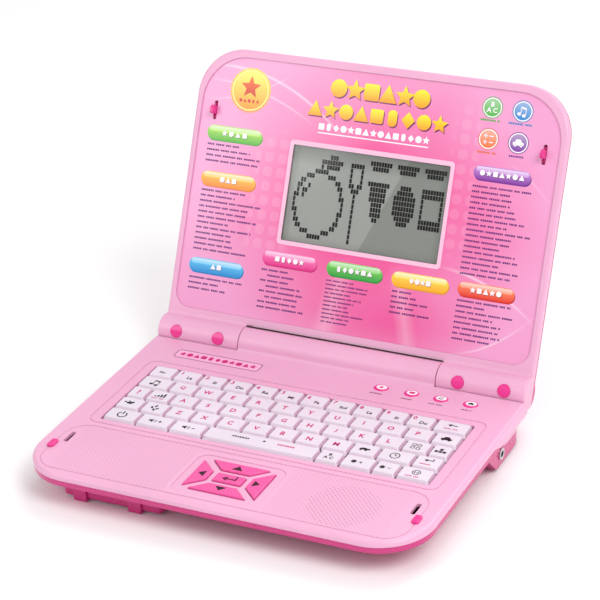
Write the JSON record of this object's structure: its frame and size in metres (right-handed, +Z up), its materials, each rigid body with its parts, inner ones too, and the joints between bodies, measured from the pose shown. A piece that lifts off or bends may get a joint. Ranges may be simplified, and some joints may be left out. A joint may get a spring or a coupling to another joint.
{
  "type": "toy laptop computer",
  "caption": "Child's toy laptop in pink plastic: hinged lid with a printed panel and small grey screen, full keyboard, arrow pad and round hinge barrels.",
  "frame": {"origin": "on the table under the middle of the whole toy with its lid open", "axes": "+Y towards the back, +X to the user's right, +Z up"},
  "size_m": [0.24, 0.256, 0.179],
  "materials": {
    "deck_pink": "polished",
    "hot_pink": "polished",
    "key_white": "satin",
    "arrow_magenta": "polished",
    "printed_label": "polished",
    "window_clear": "polished",
    "screen_grey": "satin",
    "board_green": "satin",
    "grey_rubber": "matte",
    "steel": "satin",
    "cell_wrap": "satin",
    "black_plastic": "satin",
    "bearing_plastic": "satin"
  },
  "bodies": {
    "base": {"base_top_casing": "deck_pink", "base_bottom_casing": "hot_pink", "key_frame": "deck_pink", "key_membranes": "grey_rubber", "battery_door": "hot_pink", "battery_door_screw": "steel", "batteries": "cell_wrap", "battery_contacts": "steel", "main_circuit_board": "board_green", "speaker": "black_plastic", "side_jack": "steel", "hinge_axles": "steel", "feet": "hot_pink", "lid_stops": "arrow_magenta", "casing_screws": "steel"},
    "lid": {"lid_front_frame": "deck_pink", "lid_back_shell": "hot_pink", "label_panel": "printed_label", "screen_module": "screen_grey", "screen_lens": "window_clear", "screen_circuit_board": "board_green", "hook_springs": "steel", "hinge_bushes": "bearing_plastic", "hinge_screw_caps": "arrow_magenta", "hinge_screws": "steel", "lid_screws": "steel"},
    "hook_left": {"hook_left": "arrow_magenta"},
    "hook_right": {"hook_right": "arrow_magenta"},
    "escape_key_body": {"escape_key": "key_white"},
    "number_keys_body": {"number_keys": "key_white"},
    "back_key_body": {"back_key": "key_white"},
    "music_key_body": {"music_key": "key_white"},
    "top_letter_keys_body": {"top_letter_keys": "key_white"},
    "car_key_body": {"car_key": "key_white"},
    "help_key_body": {"help_key": "key_white"},
    "level_key_body": {"level_key": "key_white"},
    "home_letter_keys_body": {"home_letter_keys": "key_white"},
    "puzzle_key_body": {"puzzle_key": "key_white"},
    "blocks_key_body": {"blocks_key": "key_white"},
    "bird_key_body": {"bird_key": "key_white"},
    "brush_key_body": {"brush_key": "key_white"},
    "bottom_letter_keys_body": {"bottom_letter_keys": "key_white"},
    "turtle_key_body": {"turtle_key": "key_white"},
    "clock_key_body": {"clock_key": "key_white"},
    "enter_key_body": {"enter_key": "key_white"},
    "power_key_body": {"power_key": "key_white"},
    "volume_up_key_body": {"volume_up_key": "key_white"},
    "volume_down_key_body": {"volume_down_key": "key_white"},
    "space_key_body": {"space_key": "key_white"},
    "alphabet_key_body": {"alphabet_key": "key_white"},
    "contrast_up_key_body": {"contrast_up_key": "key_white"},
    "contrast_down_key_body": {"contrast_down_key": "key_white"},
    "language_key_body": {"language_key": "key_white"},
    "up_key_body": {"up_key": "arrow_magenta"},
    "down_key_body": {"down_key": "arrow_magenta"},
    "left_key_body": {"left_key": "arrow_magenta"},
    "right_key_body": {"right_key": "arrow_magenta"},
    "centre_key_body": {"centre_key": "arrow_magenta"}
  },
  "joints": [
    {"name": "lid_hinge", "type": "hinge", "parent": "base", "child": "lid", "pos_m": [0, 0.04651, 0.0221], "axis": [1, 0, 0], "range_deg": [-10, 115]},
    {"name": "hook_left_slide", "type": "slide", "parent": "lid", "child": "hook_left", "axis": [0, 0.4258, 0.9048], "range_m": [0, 0.002], "stiffness_N_per_m": 150, "springref_m": -0.0004},
    {"name": "hook_right_slide", "type": "slide", "parent": "lid", "child": "hook_right", "axis": [0, 0.4258, 0.9048], "range_m": [0, 0.002], "stiffness_N_per_m": 150, "springref_m": -0.0004},
    {"name": "escape_key_press", "type": "slide", "parent": "base", "child": "escape_key_body", "axis": [0, 0, -1], "range_m": [0, 0.0012], "stiffness_N_per_m": 300, "springref_m": -0.0006},
    {"name": "number_keys_press", "type": "slide", "parent": "base", "child": "number_keys_body", "axis": [0, 0, -1], "range_m": [0, 0.0012], "stiffness_N_per_m": 600, "springref_m": -0.0006},
    {"name": "back_key_press", "type": "slide", "parent": "base", "child": "back_key_body", "axis": [0, 0, -1], "range_m": [0, 0.0012], "stiffness_N_per_m": 300, "springref_m": -0.0006},
    {"name": "music_key_press", "type": "slide", "parent": "base", "child": "music_key_body", "axis": [0, 0, -1], "range_m": [0, 0.0012], "stiffness_N_per_m": 300, "springref_m": -0.0006},
    {"name": "top_letter_keys_press", "type": "slide", "parent": "base", "child": "top_letter_keys_body", "axis": [0, 0, -1], "range_m": [0, 0.0012], "stiffness_N_per_m": 600, "springref_m": -0.0006},
    {"name": "car_key_press", "type": "slide", "parent": "base", "child": "car_key_body", "axis": [0, 0, -1], "range_m": [0, 0.0012], "stiffness_N_per_m": 300, "springref_m": -0.0006},
    {"name": "help_key_press", "type": "slide", "parent": "base", "child": "help_key_body", "axis": [0, 0, -1], "range_m": [0, 0.0012], "stiffness_N_per_m": 300, "springref_m": -0.0006},
    {"name": "level_key_press", "type": "slide", "parent": "base", "child": "level_key_body", "axis": [0, 0, -1], "range_m": [0, 0.0012], "stiffness_N_per_m": 300, "springref_m": -0.0006},
    {"name": "home_letter_keys_press", "type": "slide", "parent": "base", "child": "home_letter_keys_body", "axis": [0, 0, -1], "range_m": [0, 0.0012], "stiffness_N_per_m": 600, "springref_m": -0.0006},
    {"name": "puzzle_key_press", "type": "slide", "parent": "base", "child": "puzzle_key_body", "axis": [0, 0, -1], "range_m": [0, 0.0012], "stiffness_N_per_m": 300, "springref_m": -0.0006},
    {"name": "blocks_key_press", "type": "slide", "parent": "base", "child": "blocks_key_body", "axis": [0, 0, -1], "range_m": [0, 0.0012], "stiffness_N_per_m": 300, "springref_m": -0.0006},
    {"name": "bird_key_press", "type": "slide", "parent": "base", "child": "bird_key_body", "axis": [0, 0, -1], "range_m": [0, 0.0012], "stiffness_N_per_m": 300, "springref_m": -0.0006},
    {"name": "brush_key_press", "type": "slide", "parent": "base", "child": "brush_key_body", "axis": [0, 0, -1], "range_m": [0, 0.0012], "stiffness_N_per_m": 300, "springref_m": -0.0006},
    {"name": "bottom_letter_keys_press", "type": "slide", "parent": "base", "child": "bottom_letter_keys_body", "axis": [0, 0, -1], "range_m": [0, 0.0012], "stiffness_N_per_m": 600, "springref_m": -0.0006},
    {"name": "turtle_key_press", "type": "slide", "parent": "base", "child": "turtle_key_body", "axis": [0, 0, -1], "range_m": [0, 0.0012], "stiffness_N_per_m": 300, "springref_m": -0.0006},
    {"name": "clock_key_press", "type": "slide", "parent": "base", "child": "clock_key_body", "axis": [0, 0, -1], "range_m": [0, 0.0012], "stiffness_N_per_m": 300, "springref_m": -0.0006},
    {"name": "enter_key_press", "type": "slide", "parent": "base", "child": "enter_key_body", "axis": [0, 0, -1], "range_m": [0, 0.0012], "stiffness_N_per_m": 300, "springref_m": -0.0006},
    {"name": "power_key_press", "type": "slide", "parent": "base", "child": "power_key_body", "axis": [0, 0, -1], "range_m": [0, 0.0012], "stiffness_N_per_m": 300, "springref_m": -0.0006},
    {"name": "volume_up_key_press", "type": "slide", "parent": "base", "child": "volume_up_key_body", "axis": [0, 0, -1], "range_m": [0, 0.0012], "stiffness_N_per_m": 300, "springref_m": -0.0006},
    {"name": "volume_down_key_press", "type": "slide", "parent": "base", "child": "volume_down_key_body", "axis": [0, 0, -1], "range_m": [0, 0.0012], "stiffness_N_per_m": 300, "springref_m": -0.0006},
    {"name": "space_key_press", "type": "slide", "parent": "base", "child": "space_key_body", "axis": [0, 0, -1], "range_m": [0, 0.0012], "stiffness_N_per_m": 600, "springref_m": -0.0006},
    {"name": "alphabet_key_press", "type": "slide", "parent": "base", "child": "alphabet_key_body", "axis": [0, 0, -1], "range_m": [0, 0.0012], "stiffness_N_per_m": 300, "springref_m": -0.0006},
    {"name": "contrast_up_key_press", "type": "slide", "parent": "base", "child": "contrast_up_key_body", "axis": [0, 0, -1], "range_m": [0, 0.0012], "stiffness_N_per_m": 300, "springref_m": -0.0006},
    {"name": "contrast_down_key_press", "type": "slide", "parent": "base", "child": "contrast_down_key_body", "axis": [0, 0, -1], "range_m": [0, 0.0012], "stiffness_N_per_m": 300, "springref_m": -0.0006},
    {"name": "language_key_press", "type": "slide", "parent": "base", "child": "language_key_body", "axis": [0, 0, -1], "range_m": [0, 0.0012], "stiffness_N_per_m": 300, "springref_m": -0.0006},
    {"name": "up_key_press", "type": "slide", "parent": "base", "child": "up_key_body", "axis": [0, 0, -1], "range_m": [0, 0.0012], "stiffness_N_per_m": 300, "springref_m": -0.0006},
    {"name": "down_key_press", "type": "slide", "parent": "base", "child": "down_key_body", "axis": [0, 0, -1], "range_m": [0, 0.0012], "stiffness_N_per_m": 300, "springref_m": -0.0006},
    {"name": "left_key_press", "type": "slide", "parent": "base", "child": "left_key_body", "axis": [0, 0, -1], "range_m": [0, 0.0012], "stiffness_N_per_m": 300, "springref_m": -0.0006},
    {"name": "right_key_press", "type": "slide", "parent": "base", "child": "right_key_body", "axis": [0, 0, -1], "range_m": [0, 0.0012], "stiffness_N_per_m": 300, "springref_m": -0.0006},
    {"name": "centre_key_press", "type": "slide", "parent": "base", "child": "centre_key_body", "axis": [0, 0, -1], "range_m": [0, 0.0012], "stiffness_N_per_m": 300, "springref_m": -0.0006}
  ]
}
